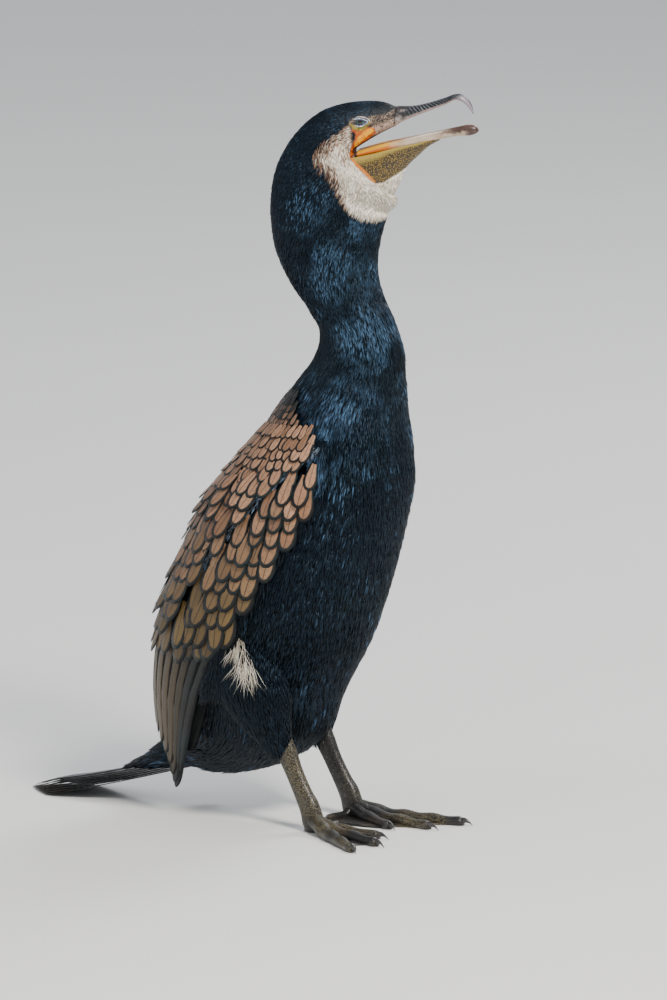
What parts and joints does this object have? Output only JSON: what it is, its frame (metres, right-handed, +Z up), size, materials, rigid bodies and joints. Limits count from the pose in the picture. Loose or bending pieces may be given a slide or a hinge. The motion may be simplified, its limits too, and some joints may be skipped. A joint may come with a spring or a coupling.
{
  "type": "great cormorant",
  "caption": "Great cormorant standing upright on webbed feet, tail laid to the floor, head turned and hooked bill open; a still life-size model.",
  "frame": {"origin": "on the floor under the middle of the bird's bounding box", "axes": "+Z up, the body faces +X, the bird's left side is towards +Y, and the head is turned about 25 degrees to its left"},
  "size_m": [0.4066, 0.1802, 0.597],
  "materials": {
    "plumage": "glossy blue-black body feathers",
    "wing_feathers": "bronze feathers with glossy black borders",
    "tail_feathers": "stiff black flight feathers",
    "horn": "striated grey and cream horn",
    "pouch_skin": "yellow-olive granular bare skin",
    "eye": "wet emerald eye",
    "leg_skin": "dark grey scaled skin and claws"
  },
  "bodies": {
    "root": {"head": "plumage", "neck": "plumage", "torso": "plumage", "thigh_right": "plumage", "thigh_left": "plumage", "wing_right": "wing_feathers", "wing_left": "wing_feathers", "tail": "tail_feathers", "bill_upper": "horn", "bill_lower": "horn", "gular_pouch": "pouch_skin", "eye_right": "eye", "eye_left": "eye", "shank_right": "leg_skin", "shank_left": "leg_skin", "foot_right": "leg_skin", "foot_left": "leg_skin"}
  },
  "joints": []
}
